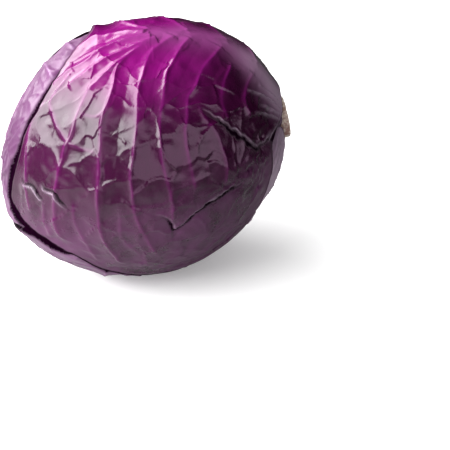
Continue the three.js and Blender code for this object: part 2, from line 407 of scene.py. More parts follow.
def leafRelief(leaf, outline, directions, seed):
    # height of the blade in millimetres, with what the skin needs to know of it
    points = directions * headRadius
    drawn, cord = veinRelief(leaf, directions)
    ridge, pleat = pleatRelief(leaf, directions)
    ribAway, ribPlace, ribStrength = leaf["ribCurve"].measure(directions, 40)
    rib = ribStrength * bump(ribAway / leaf.get("ribWidth", relief["ribWidth"]))
    rib = rib * easeOut((ribPlace - 0.7) / 0.3)
    net, tilt = netRelief(leaf, outline, directions, seed)
    net = net * (1 - 0.8 * rib)
    crumple = noiseAt(points, relief["crumpleSize"], seed + 5)
    crumple = crumple + 0.4 * noiseAt(points, relief["crumpleSize"] / 2.6, seed + 6)
    offRib = 1 - 0.85 * np.clip(rib * 1.4, 0, 1)
    uneven = np.clip(0.75 + 1.6 * noiseAt(points, 16, seed + 8), 0, 1.4)
    creases = leaf.get("netGain", 1.0) * relief["netHeight"] * (net - 0.25)
    creases = creases + relief["netTilt"] * tilt + relief["crumple"] * crumple
    height = relief["veinHeight"] * leaf.get("veinGain", 1.0) * drawn
    height = height + offRib * (relief["cordHeight"] * cord * uneven + creases)
    height = height + leaf.get("ribHeight", relief["ribHeight"]) * rib - relief["settle"]
    for zone in leaf.get("crumpled", []):
        knots = noiseAt(points, zone["size"], seed + 11)
        part = bump(awayFrom(directions, *zone["at"]) / zone["reach"])
        height = height + part * zone["height"] * (1 - 3 * np.abs(knots))
    torn, crevice, lip = tearRelief(leaf, directions, seed)

    # where the skin is dusted with bloom, and the painted glow that brightens it round one spot of
    # the leaf
    fromStem = angleFromStem(directions)
    aside = np.abs((angleAround(directions) - leaf["midrib"] + 180) % 360 - 180)
    low, high = leaf.get("bloomBand", (20, 60))
    bloomy = easeIn((aside - low) / (high - low)) * easeIn((fromStem - 6) / 30)
    warm = awayFrom(directions, *leaf.get("paintedGlowAt", (96, leaf["midrib"]))) / headRadius
    warm = easeOut(np.degrees(warm) / leaf.get("paintedGlowReach", 70.0))
    return {
        # lip carries the painted highlight of tear lips and pleat ridges, crevice the painted shade
        # of cracks
        "height": height + torn, "pleat": pleat, "crevice": crevice,
        "vein": np.clip(drawn, 0, 1), "cord": cord, "rib": rib,
        "bloomy": bloomy, "warm": warm, "lip": np.maximum(lip, ridge),
    }


# how the blades are meshed and laid over one another
leafBuild = {
    "sectors": 460,
    "rings": 150,
    "crowding": 0.10,        # draws the rings toward the edge
    "innerRings": (1, 0.99, 0.97, 0.94, 0.9, 0.84, 0.74, 0.6, 0.45, 0.3, 0.15),
    "innerClear": 1.6,       # keeps the inner face clear of the outer face's dips
    "thickness": 0.9,
    "gap": 0.35,
    "pressWithin": 0.4,      # the leaf under an edge stays pressed this far beyond it
    "pressFade": 6.0,        # and rises to the surface over this distance
    "valleyRoom": 1.7,       # extra depth where an outer leaf's valleys need it
    "edgeFade": 9.0,         # relief fades over this distance to the edge
    "edgeRelief": 0.35,      # share of a ridge's height that reaches the edge
    "edgeLift": 0.3,
    "edgeLiftReach": 3.2,
    "groove": 1.3,           # a leaf sinks this much right beside an outer leaf's edge
}

# wrapper leaves, outermost first; places are (from the stem, round from the top)
wrapperLeaves = {
    "top_wrapper_leaf": {
        "centre": (82, 42),
        "ragged": 1.6,
        "midrib": 9,
        "margin": [
            (12, 14), (12, 42), (15, 64), (22, 76), (27, 91), (29, 110), (45, 138), (66, 150),
            (82, 147), (104, 140), (116, 132), (127.5, 120.5), (138, 115.5), (147, 112.5),
            (156, 101), (158.7, 82), (157, 70), (151, 54), (143, 37), (133, 28), (124, 18.6),
            (116.5, 10), (109.7, 2.8), (103, -5), (98, -18), (93, -36), (80, -58), (58, -66),
            (34, -62), (15, -46), (12, -16),
        ],
        "rib": [
            (13, 34), (19, 29), (28, 20), (35, 14), (43, 9), (55, 8), (67, 10), (80, 9), (95, 4),
        ],
        "veins": [
            {"points": [(78, 9), (88, 4), (95, 3), (101, 1), (107, 2), (114, 4)], "height": 1.4},
            {"points": [(76, 13), (88, 12), (98, 14), (105, 17), (115, 18), (124, 19)],
             "height": 1.6},
            {"points": [(74, 14), (86, 18), (97, 21), (106, 24), (116, 27)], "height": 1.5},
            {"points": [(78, 16), (92, 25), (104, 32), (110, 38), (117, 50), (121, 55), (127, 67),
                        (130, 75), (133, 86), (134, 97), (131, 110)], "height": 1.25},
            {"points": [(74, 14), (84, 20), (92, 27), (96, 37), (103, 49), (107, 62), (110, 73),
                        (113, 87), (114, 98), (112, 112), (107, 126)], "height": 1.2},
            {"points": [(66, 12), (72, 17), (78, 23), (83, 34), (86, 41), (89, 53), (93, 65),
                        (96, 73), (97, 80), (98, 92), (96, 104), (92, 122)], "height": 1.2},
            {"points": [(60, 12), (65, 20), (70, 29), (73, 34), (76, 44), (80, 56), (82, 69),
                        (82, 79), (82, 90), (84, 102)]},
            {"points": [(47, 14), (51, 22), (57, 31), (62, 41), (66, 46), (68, 54), (70, 60),
                        (71, 69), (71, 77), (71, 90)]},
            {"points": [(62, 50), (61, 55), (58, 61), (56, 67), (55, 75), (55, 83), (57, 92)],
             "start": 0.3},
            {"points": [(44, 26), (49, 39), (51, 50), (50, 60)], "height": 0.8},
            {"points": [(33, 26), (37, 38), (40, 49), (38, 60)], "height": 0.7},
            {"points": [(128, 26), (137, 34), (143, 52), (145, 61), (147, 78), (146, 94)],
             "height": 0.7},
            {"points": [(124, 84), (125, 96), (122, 108), (119, 122)], "height": 0.8, "start": 0.4},
            {"points": [(105, 92), (106, 104), (101, 116), (98, 130)], "height": 0.8, "start": 0.4},
            {"points": [(138, 84), (140, 96), (138, 108)], "height": 0.9, "start": 0.4},
            {"points": [(112, 20), (124, 27), (125, 35), (123, 45), (118, 55), (107, 62)],
             "height": 0.6},
            {"points": [(96, 37), (100, 44), (105, 46), (112, 42)], "height": 0.5},
            {"points": [(60, 6), (66, -8), (72, -22), (76, -38)], "height": 0.8},
            {"points": [(44, 6), (48, -10), (52, -26), (54, -44)], "height": 0.8},
            {"points": [(76, 6), (84, -6), (89, -18), (91, -30)], "height": 0.8},
            {"points": [(30, 14), (32, -6), (34, -28), (34, -48)], "height": 0.7},
        ],
        "ribWidth": 10.0,
        "ribHeight": 1.3,
        "pleats": [
            [(12, 48), (18, 41), (24, 37), (31, 34)],
            [(12, 56), (16, 52), (21, 46), (29, 42), (38, 41)],
            [(12, 64), (17, 58), (25, 52), (31, 50)],
            [(12, 72), (16, 68), (22, 61), (30, 57), (36, 57)],
            [(12, 80), (18, 74), (24, 68)],
        ],
        "tears": [
            {"points": [(63, 50), (54, 58), (49, 64), (44, 69), (37, 79), (28, 77), (20, 72)],
             "height": 0.5, "depth": 1.4, "reach": 1.8, "start": 0.6,
             "darkHalf": 1.1, "jag": 1.6},
            {"points": [(30, 84), (27, 79), (22, 74), (17, 68)],
             "height": 0.6, "depth": 1.6, "reach": 2.0, "darkHalf": 1.5, "jag": 1.2},
            {"points": [(93, 92), (85, 97), (83, 104), (74, 100), (65, 97), (52, 96), (42, 104)],
             "height": 0.6, "depth": 1.2, "reach": 3.0,
             "darkHalf": 0.9, "jag": 1.4, "pale": 0.35},
            {"points": [(126, 88), (130, 82), (131, 77), (136, 75), (138, 70)],
             "height": 1.2, "depth": 1.0, "reach": 1.7, "sunkReach": 1.5,
             "darkHalf": 0.4, "jag": 0.3},
            {"points": [(137, 84), (141, 77), (143, 73), (148, 70), (150, 64)],
             "height": 1.2, "depth": 1.0, "reach": 1.7, "sunkReach": 1.5,
             "darkHalf": 0.4, "jag": 0.3},
        ],
        "lifts": [{"at": (99, -15), "height": 2.2, "reach": 7.0, "depth": 7.0}],
        "gapes": [
            {"at": (157, 80), "reach": 42.0, "width": 1.9},
            {"at": (134, 30), "reach": 28.0, "width": 1.4},
            {"at": (154, 106), "reach": 12.0, "width": 5.2},
            {"at": (142, 114), "reach": 15.0, "width": 3.4},
            {"at": (104, 141), "reach": 42.0, "width": 1.9},
        ],
        "bloomBand": (64, 104),
        "paintedGlowAt": (86, 12),
        "paintedGlowReach": 49.0,
        "crumpled": [
            {"at": (28, 84), "reach": 14.0, "size": 5.0, "height": 0.7},
            {"at": (30, 52), "reach": 12.0, "size": 6.0, "height": 0.5},
            {"at": (40, 96), "reach": 13.0, "size": 5.0, "height": 0.5},
        ],
    },
    "underside_leaf": {
        "centre": (84, 158),
        "midrib": 128,
        "margin": [
            (12, 126), (12, 150), (14, 176), (30, 208), (56, 236), (84, 242), (112, 236),
            (140, 232), (158, 214), (163, 176), (160, 142), (151, 112), (138, 94), (112, 84),
            (84, 74), (56, 70), (32, 74), (14, 82), (12, 102),
        ],
        "rib": [(12, 122), (20, 124), (34, 127), (56, 132), (84, 138), (110, 142)],
        "ribWidth": 11.0,
        "ribHeight": 1.6,
        "veinGain": 0.7,
        "pleatCount": 7,
    },
    "back_leaf": {
        "centre": (84, 266),
        "midrib": 268,
        "margin": [
            (12, 266), (12, 292), (15, 322), (34, 338), (60, 346), (86, 345), (112, 340),
            (136, 332), (154, 314), (163, 268), (156, 222), (136, 202), (110, 192), (84, 184),
            (58, 184), (32, 194), (15, 214), (12, 240),
        ],
        "rib": [(12, 268), (26, 268), (50, 266), (76, 268), (104, 272), (126, 274)],
        "ribWidth": 8.0,
        "ribHeight": 1.5,
    },
    "crown_side_leaf": {
        "centre": (92, 40),
        "midrib": 40,
        "margin": [
            (12, 44), (12, 70), (16, 92), (40, 114), (66, 124), (92, 126), (118, 124),
            (142, 126), (160, 138), (171, 172), (173, 250), (166, 296), (150, 308), (128, 304),
            (104, 302), (78, 306), (54, 314), (30, 328), (15, 352), (12, 18),
        ],
        "rib": [(12, 40), (50, 40), (90, 36), (125, 30), (150, 20)],
        "ribHeight": 0.6,
        "netGain": 2.2,
        "netSize": 12.0,
    },
    "lower_back_leaf": {
        "centre": (86, 196),
        "midrib": 196,
        "margin": [
            (12, 196), (12, 224), (16, 248), (36, 272), (62, 284), (90, 288), (118, 286),
            (144, 278), (162, 240), (165, 192), (158, 146), (140, 118), (114, 106), (88, 104),
            (60, 108), (34, 120), (16, 144), (12, 170),
        ],
        "rib": [(12, 196), (50, 196), (90, 198), (130, 200)],
    },
    "upper_back_leaf": {
        "centre": (86, 322),
        "midrib": 322,
        "margin": [
            (12, 322), (12, 350), (16, 374), (38, 396), (64, 406), (90, 410), (118, 408),
            (144, 398), (160, 366), (164, 318), (158, 272), (140, 246), (114, 234), (88, 232),
            (60, 236), (34, 248), (16, 270), (12, 296),
        ],
        "rib": [(12, 322), (50, 322), (90, 324), (130, 326)],
    },
}

pleatFan = {
    "first": 66, "apart": 15,              # where pleats start, in degrees round the stem
    "lastFirst": 116, "lastApart": 13,     # and where they end
    "from": 13, "length": 30, "longer": 5,
}


def pleatLines(count):
    # pleats start side by side under the stem and curve down along the leaf base
    lines = []
    for step in range(count):
        start = pleatFan["first"] + pleatFan["apart"] * step
        sweep = pleatFan["lastFirst"] + pleatFan["lastApart"] * step - start
        length = pleatFan["length"] + pleatFan["longer"] * (step % 3)
        lines.append([
            (pleatFan["from"] + length * t**1.3, start + sweep * math.sin(t * math.pi / 2))
            for t in (0, 0.15, 0.3, 0.5, 0.75, 1.0)
        ])
    return lines


leafNames = list(wrapperLeaves)
outlines = {}
for number, name in enumerate(leafNames):
    leaf = wrapperLeaves[name]
    outlines[name] = LeafOutline(leaf, 20 + 7 * number)
    leaf["ribCurve"] = Curve(leaf["rib"])
    leaf.setdefault("veins", ruleVeins(leaf, 50 + number))
    if "pleatCount" in leaf:
        leaf["pleats"] = pleatLines(leaf["pleatCount"])
print("outlines ready")


def gapeOf(name, directions):
    # how far a leaf's edge stands open, nought where it lies close; it deepens the groove under
    # that edge and widens the painted shade beside it
    gape = np.zeros(len(directions))
    for part in wrapperLeaves[name].get("gapes", []):
        near = awayFrom(directions, *part["at"]) / part["reach"]
        gape = np.maximum(gape, part["width"] * bump(near))
    return gape


def coverOver(name, directions):
    # depth of a leaf under the leaves outside it, how covered it is, and the painted shade beside
    # their edges
    depth = np.zeros(len(directions))
    covered = np.zeros(len(directions))
    shade = np.zeros(len(directions))
    clear = np.ones(len(directions))
    layer = leafBuild["thickness"] + leafBuild["gap"]
    outerLeaves = leafNames[:leafNames.index(name)] if name in leafNames else leafNames
    for outer in outerLeaves:
        inside = outlines[outer].insideEdge(directions)
        pressed = easeOut((-inside - leafBuild["pressWithin"]) / leafBuild["pressFade"])
        room = leafBuild["valleyRoom"] * easeIn((inside - 1) / leafBuild["edgeFade"])
        gape = gapeOf(outer, directions)
        groove = (1 + 0.4 * gape) * bump((inside + 0.8 + gape) / (1.2 + gape))
        depth += layer * pressed + room + leafBuild["groove"] * groove
        covered = np.maximum(covered, pressed)
        clear = np.minimum(clear, easeIn((-inside - 0.2) / 1.2))
        # painted shade: this leaf is coloured dark in a band beside an outer leaf's edge, wider
        # where that edge gapes
        shade = np.maximum(shade, easeOut((-inside - 0.3 - 2.6 * gape) / (0.9 + gape)))
    return depth, covered, shade, clear


def leafSurface(name, directions, seed):
    leaf = wrapperLeaves[name]
    outline = outlines[name]
    inside = np.maximum(outline.insideEdge(directions), 0)
    depth, covered, shade, clear = coverOver(name, directions)
    skin = leafRelief(leaf, outline, directions, seed)
    height = skin["height"] * (1 - covered) + skin["pleat"] * clear
    nearEdge = easeIn(inside / leafBuild["edgeFade"])
    kept = leafBuild["edgeRelief"]
    height = np.where(height < 0, height * nearEdge, height * (kept + (1 - kept) * nearEdge))
    lift = np.clip(0.6 + 1.4 * noiseAt(directions * headRadius, 14, seed + 9), 0, 2)
    lift = lift * bump(inside / leafBuild["edgeLiftReach"]) * (1 - 0.8 * covered)
    height = height + leafBuild["edgeLift"] * lift
    for fold in leaf.get("lifts", []):
        near = bump(awayFrom(directions, *fold["at"]) / fold["reach"])
        height = height + fold["height"] * near * bump(inside / fold["depth"])
    skin["inside"] = inside
    # painted shade: this leaf's own edge is coloured dark where it stands open
    gape = gapeOf(name, directions)
    edgeShade = easeOut((inside - 0.3 - 0.8 * gape) / 0.6)
    edgeShade = edgeShade * np.clip(1.6 * gape - 0.3, 0, 1)
    skin["crevice"] = np.maximum(skin["crevice"], np.maximum(shade, edgeShade))
    return ovoidRadius(directions) - depth + height, skin


def darkenCracks(blade, crevice):
    # faces deep in a crack take the near-black painted shade, matt, so that no light glints there
    faces = blade.data.polygons
    corners = np.zeros(len(blade.data.loops), dtype=np.int32)
    blade.data.loops.foreach_get("vertex_index", corners)
    starts = np.zeros(len(faces), dtype=np.int32)
    faces.foreach_get("loop_start", starts)
    depth = np.minimum.reduceat(crevice[corners], starts)
    faces.foreach_set("material_index", (depth > 0.55).astype(np.int32))


def meshObject(name, vertices, faces, attributes=None):
    mesh = bpy.data.meshes.new(name)
    mesh.from_pydata((vertices * mm).tolist(), [], faces)
    for key, values in (attributes or {}).items():
        layer = mesh.attributes.new(key, "FLOAT", "POINT")
        layer.data.foreach_set("value", values.astype(np.float32))
    mesh.polygons.foreach_set("use_smooth", [True] * len(mesh.polygons))
    mesh.update()
    made = bpy.data.objects.new(name, mesh)
    bpy.context.scene.collection.objects.link(made)
    return made


def ringFaces(first, second, sectors):
    step = np.arange(sectors)
    after = (step + 1) % sectors
    return np.stack([first + step, second + step, second + after, first + after], -1).tolist()


def fanFaces(hub, ring, sectors, outward):
    step = np.arange(sectors)
    after = (step + 1) % sectors
    a, b = (step, after) if outward else (after, step)
    return np.stack([np.full(sectors, hub), ring + a, ring + b], -1).tolist()


def buildLeaf(name, seed):
    outline = outlines[name]
    sectors, rings = leafBuild["sectors"], leafBuild["rings"]
    turns = np.linspace(-math.pi, math.pi, sectors, endpoint=False)
    edge = outline.edge(turns)
    share = np.linspace(0, 1, rings + 1)[1:]
    share = share + leafBuild["crowding"] * share * (1 - share)
    grid = outline.direction(edge[None, :] * share[:, None], np.tile(turns, (rings, 1)))
    directions = np.vstack([outline.centre[None], grid.reshape(-1, 3)])
    radius, skin = leafSurface(name, directions, seed)
    flat = 0.0 if name == "underside_leaf" else head["flatBlend"]
    outside = directions * (radius - pressedIn(directions, radius, flat))[:, None]

    # inner face: few rings, plain where an outer face could dip to it
    rimStart = 1 + (rings - 1) * sectors
    thickness, innerClear = leafBuild["thickness"], leafBuild["innerClear"]
    rimRadius = radius[rimStart:]
    innerRings = []
    for s in leafBuild["innerRings"]:
        d = outline.direction(edge * s, turns)
        inside = edge * (1 - s) * headRadius
        if s == 1:
            r = rimRadius - thickness * 0.75
        else:
            r, _ = leafSurface(name, d, seed)
            r = r - thickness - innerClear * easeIn(inside / 12)
        innerRings.append(d * (r - pressedIn(d, r, head["flatBlend"]))[:, None])
    middle = outline.centre[None]
    r, _ = leafSurface(name, middle, seed)
    r = r - thickness - innerClear
    innerMiddle = middle * (r - pressedIn(middle, r, head["flatBlend"]))[:, None]

    # a rounded rim between the two faces
    d = outline.direction(edge + 0.3 / headRadius, turns)
    r = rimRadius - thickness * 0.35
    rimRound = d * (r - pressedIn(d, r, flat))[:, None]

    vertices = np.vstack([outside, rimRound] + innerRings + [innerMiddle]) + headCentre
    faces = fanFaces(0, 1, sectors, True)
    for ring in range(rings - 1):
        faces += ringFaces(1 + ring * sectors, 1 + (ring + 1) * sectors, sectors)
    start = rimStart
    for ring in range(len(innerRings) + 1):
        faces += ringFaces(start, start + sectors, sectors)
        start += sectors
    faces += fanFaces(start + sectors, start, sectors, False)

    extra = len(vertices) - len(outside)
    attributes = {}
    for key in ("vein", "cord", "rib", "bloomy", "warm", "crevice", "lip"):
        attributes[key] = np.concatenate([skin[key], np.zeros(extra)])
    # rim: the band along the edge that is coloured with painted shade and loses its gloss
    attributes["rim"] = np.concatenate([bump(skin["inside"] / 1.1), np.ones(extra)])
    out = vertices - headCentre
    fromStem = angleFromStem(out / np.linalg.norm(out, axis=1, keepdims=True))
    attributes["nearStem"] = easeOut((fromStem - 12) / 40)
    made = meshObject(name + "_blade", vertices, faces, attributes)
    print("leaf", name, len(made.data.polygons), "faces")
    darkenCracks(made, attributes["crevice"])
    return made


# the tight ball of unopened leaves, hollowed at one end for the stem
ball = {
    "rings": 60, "sectors": 96,
    "slack": 1.2,            # air between the ball and the innermost leaves
    "hollow": 50.0,          # where its leaves close round the stem
    "hollowAngle": 13.0,
    "lastAngle": 177.0,
    "unevenness": 0.4, "unevenSize": 15.0,
}


def buildBall(name):
    rings, sectors = ball["rings"], ball["sectors"]
    fromStem = np.linspace(ball["hollowAngle"], ball["lastAngle"], rings)
    around = np.linspace(0, 360, sectors, endpoint=False)
    directions = headDirection(*np.meshgrid(fromStem, around, indexing="ij")).reshape(-1, 3)
    crown = headDirection(180, 0)[None]
    directions = np.vstack([directions, crown])
    depth, _, _, _ = coverOver(name, directions)
    radius = ovoidRadius(directions) - depth - ball["slack"]
    uneven = noiseAt(directions * headRadius, ball["unevenSize"], 3)
    radius = radius + ball["unevenness"] * uneven
    points = directions * (radius - pressedIn(directions, radius, head["flatBlend"]))[:, None]
    hub = stemAxis[None] * ball["hollow"]
    vertices = np.vstack([points, hub]) + headCentre
    faces = []
    for ring in range(rings - 1):
        faces += ringFaces(ring * sectors, (ring + 1) * sectors, sectors)
    faces += fanFaces(rings * sectors, (rings - 1) * sectors, sectors, False)
    faces += fanFaces(rings * sectors + 1, 0, sectors, True)
    return meshObject(name + "_leaves", vertices, faces)


# the cut stem: a stump that widens from inside the head to its cut
stem = {
    "radius": 12.4,
    "proud": 0.9,            # how far the cut stands out of the head
    "bevel": 1.6,
    "start": 66.0,           # where it begins inside, from the head's centre
    "startAngle": 9.4,
    "neck": 3.0,             # its last stretch is straight
    "groove": 0.7, "grooveSize": 3.0,      # shrunken furrows along its side
    "faceDip": 0.5, "dipSize": 6.0,        # hollows of the dried cut
    "sectors": 120,
}


def buildStem(name):
    surface = ovoidRadius(stemAxis[None])[0]
    top = surface + stem["proud"]
    low, radius, bevel = stem["start"], stem["radius"], stem["bevel"]
    startRadius = low * math.sin(math.radians(stem["startAngle"]))
    neck = surface - stem["neck"]
    profile = [(startRadius * s, low) for s in (0.35, 0.7, 1.0)]
    for t in np.linspace(0, 1, 14)[1:]:
        profile.append((startRadius + (radius - startRadius) * t, low + (neck - low) * t))
    for t in np.linspace(0, 1, 6)[1:]:
        profile.append((radius, neck + (top - bevel - neck) * t))
    for a in np.radians(np.linspace(0, 90, 6)[1:]):
        profile.append((radius - bevel * (1 - math.cos(a)), top - bevel * (1 - math.sin(a))))
    for s in np.linspace(1, 0, 14)[1:-1]:
        profile.append(((radius - bevel) * s, top))
    sectors = stem["sectors"]
    around = np.radians(np.linspace(0, 360, sectors, endpoint=False))[:, None]
    spokes = np.cos(around) * topAxis + np.sin(around) * frontAxis
    points = np.vstack([stemAxis * along + r * spokes for r, along in profile])

    # furrows along the side and hollows in the cut face
    off = points @ stemAxis
    radial = points - off[:, None] * stemAxis
    width = np.linalg.norm(radial, axis=1)
    unit = radial / np.maximum(width, 0.01)[:, None]
    furrows = np.stack([unit @ topAxis * 16, unit @ frontAxis * 16, off * 0.35], -1)
    furrows = noiseAt(furrows, stem["grooveSize"], 8)
    inward = -stem["groove"] * np.abs(furrows) * easeIn((width - 8) / 5)
    dips = -stem["faceDip"] * np.abs(noiseAt(points, stem["dipSize"], 5))
    dips = np.where(off > top - stem["faceDip"], dips, 0)
    points = points + unit * inward[:, None] + stemAxis * dips[:, None]

    first = stemAxis[None] * low
    last = stemAxis[None] * (top - stem["faceDip"])
    vertices = np.vstack([points, first, last]) + headCentre
    faces = []
    count = len(profile)
    for ring in range(count - 1):
        faces += ringFaces(ring * sectors, (ring + 1) * sectors, sectors)
    faces += fanFaces(count * sectors, 0, sectors, True)
    faces += fanFaces(count * sectors + 1, (count - 1) * sectors, sectors, False)
    faces = [face[::-1] for face in faces]
    cutFace = easeIn(off - top + 1.2) * easeOut((width - 12.5) / 2)
    cutFace = np.concatenate([cutFace, [0, 1]])
    return meshObject(name + "_core", vertices, faces, {"cutFace": cutFace})


def addNode(tree, kind, settings=None, inputs=None, out=0):
    # adds a node, sets it, feeds its inputs and hands back one of its outputs
    node = tree.nodes.new(kind)
    for key, value in (settings or {}).items():
        setattr(node, key, value)
    for key, value in (inputs or {}).items():
        if isinstance(value, bpy.types.NodeSocket):
            tree.links.new(value, node.inputs[key])
        else:
            node.inputs[key].default_value = value
    return node.outputs[out] if node.outputs else node


# vascular strands in the cut: a ring of small pale knobs, scattered a little
fibres = {
    "count": 30,
    "ringRadius": 8.6,
    "size": 0.62, "smallest": 0.6, "largest": 1.25,    # radius, and its spread
    "scatter": 0.7,
    "height": 0.55,          # depth of the ring under the cut face
    "seed": 11,
}


def fibreTree(material):
    tree = bpy.data.node_groups.new("stemFibreRing", "GeometryNodeTree")
    sizes = (
        ("Fibre Count", "NodeSocketInt", fibres["count"]),
        ("Ring Radius", "NodeSocketFloat", fibres["ringRadius"] * mm),
        ("Scatter", "NodeSocketFloat", fibres["scatter"] * mm),
    )
    for label, kind, value in sizes:
        socket = tree.interface.new_socket(label, in_out="INPUT", socket_type=kind)
        socket.default_value = value
    tree.interface.new_socket("Geometry", in_out="OUTPUT", socket_type="NodeSocketGeometry")
    given = addNode(tree, "NodeGroupInput").node.outputs
    ring = addNode(tree, "GeometryNodeMeshCircle", None, {
        "Vertices": given["Fibre Count"], "Radius": given["Ring Radius"],
    })
    reach = [
        addNode(tree, "ShaderNodeVectorMath", {"operation": "SCALE"}, {
            0: (side, side, 0.0), "Scale": given["Scatter"],
        })
        for side in (-1.0, 1.0)
    ]
    offset = addNode(tree, "FunctionNodeRandomValue", {"data_type": "FLOAT_VECTOR"}, {
        0: reach[0], 1: reach[1], "Seed": fibres["seed"],
    })
    moved = addNode(tree, "GeometryNodeSetPosition", None, {"Geometry": ring, "Offset": offset})
    knob = addNode(tree, "GeometryNodeMeshUVSphere", None, {
        "Segments": 12, "Rings": 8, "Radius": fibres["size"] * mm,
    })
    size = addNode(tree, "FunctionNodeRandomValue", {"data_type": "FLOAT"}, {
        2: fibres["smallest"], 3: fibres["largest"], "Seed": fibres["seed"] + 1,
    }, out=1)
    placed = addNode(tree, "GeometryNodeInstanceOnPoints", None, {
        "Points": moved, "Instance": knob, "Scale": size,
    })
    real = addNode(tree, "GeometryNodeRealizeInstances", None, {"Geometry": placed})
    painted = addNode(tree, "GeometryNodeSetMaterial", None, {
        "Geometry": real, "Material": material,
    })
    addNode(tree, "NodeGroupOutput", None, {"Geometry": painted})
    return tree


def placement(across, upward, outward, spot):
    # a matrix that turns X, Y and Z to three directions and moves to a spot in metres
    rows = zip(across, upward, outward, spot)
    return Matrix([[float(value) for value in row] for row in rows] + [[0, 0, 0, 1]])


def buildFibres(name, material):
    holder = bpy.data.objects.new(name + "_ring", bpy.data.meshes.new(name + "_ring"))
    bpy.context.scene.collection.objects.link(holder)
    modifier = holder.modifiers.new("fibreRing", "NODES")
    modifier.node_group = fibreTree(material)
    label = modifier.node_group.interface.items_tree["Fibre Count"].identifier
    modifier[label] = fibres["count"]
    graph = bpy.context.evaluated_depsgraph_get()
    ring = bpy.data.meshes.new_from_object(holder.evaluated_get(graph))
    bpy.data.objects.remove(holder)
    along = ovoidRadius(stemAxis[None])[0] + stem["proud"] - fibres["height"]
    spot = (headCentre + along * stemAxis) * mm
    ring.transform(placement(topAxis, frontAxis, stemAxis, spot))
    made = bpy.data.objects.new(name + "_fibres", ring)
    bpy.context.scene.collection.objects.link(made)
    return made


def linear(hexColour):
    channels = [int(hexColour[i:i + 2], 16) / 255 for i in (1, 3, 5)]
    channels = [c / 12.92 if c <= 0.04045 else ((c + 0.055) / 1.055) ** 2.4 for c in channels]
    return (*channels, 1.0)


# settings that several nodes share
times = {"operation": "MULTIPLY"}
plus = {"operation": "ADD"}
timesPlus = {"operation": "MULTIPLY_ADD"}      # the first times the second, plus the third
greater = {"operation": "MAXIMUM"}
smooth = {"interpolation_type": "SMOOTHSTEP"}  # inputs 1 to 4: from, from, to, to
colours = {"data_type": "RGBA"}                # inputs 0, 6 and 7: share, first, second


def startMaterial(name):
    material = bpy.data.materials.new(name)
    material.use_nodes = True
    tree = material.node_tree
    position = addNode(tree, "ShaderNodeTexCoord", out="Object")
    return material, tree, tree.nodes["Principled BSDF"], position


def grainOf(tree, position, patterns):
    # noise patterns by name, each with the size of its lumps in millimetres
    return {
        key: addNode(tree, "ShaderNodeTexNoise", None, {
            "Vector": position, "Scale": 1 / (size * mm), "Detail": detail, "Roughness": rough,
        })
        for key, (size, detail, rough) in patterns.items()
    }


# colours of each leaf's skin, and how bloomed and how rough it is
leafSkins = {
    "top_wrapper_leaf": {
        "deep": "#2c0222", "bright": "#70025e", "rib": "#7e3a72", "bloom": "#5c2855",
        "bloomAmount": 0.8, "vein": "#740e66", "roughness": 0.24,
    },
    "underside_leaf": {
        "deep": "#5e3a5a", "bright": "#744c70", "rib": "#b2a2b0", "bloom": "#b09cb0",
        "bloomAmount": 0.95, "vein": "#9c789a", "roughness": 0.4,
    },
    "back_leaf": {
        "deep": "#2a0424", "bright": "#4e0c47", "rib": "#6d4668", "bloom": "#5a3c58",
        "bloomAmount": 0.6, "vein": "#742c6e", "roughness": 0.24,
    },
    "crown_side_leaf": {
        "deep": "#4a1e46", "bright": "#663262", "rib": "#8a6488", "bloom": "#6c4668",
        "bloomAmount": 0.9, "vein": "#98709a", "roughness": 0.42,
    },
    "lower_back_leaf": {
        "deep": "#2e0a2a", "bright": "#4c1a48", "rib": "#6e5570", "bloom": "#65486a",
        "bloomAmount": 0.65, "vein": "#744673", "roughness": 0.26,
    },
    "upper_back_leaf": {
        "deep": "#280522", "bright": "#4c0f45", "rib": "#64455e", "bloom": "#5a3e5a",
        "bloomAmount": 0.6, "vein": "#702e6c", "roughness": 0.26,
    },
}


leafPaint = {
    "ribBase": "#b49cb2",    # the midrib pales toward the stem
    "lip": "#b8a4b8",        # painted highlight on the over lip of a tear and on the ridges of a leaf base
    # painted shade: the rim colour darkens each leaf's edge, the crevice colour its cracks and the
    # band beside an outer leaf's edge
    "rim": "#1c0217",
    "crevice": "#0b0108",
    "ior": 1.48,
    "grain": {"broad": (38, 3, 0.5), "patch": (9, 5, 0.6), "fine": (1.6, 3, 0.6)},
    "grown": ("vein", "cord", "warm", "bloomy", "rib", "rim", "crevice", "lip", "nearStem"),
}


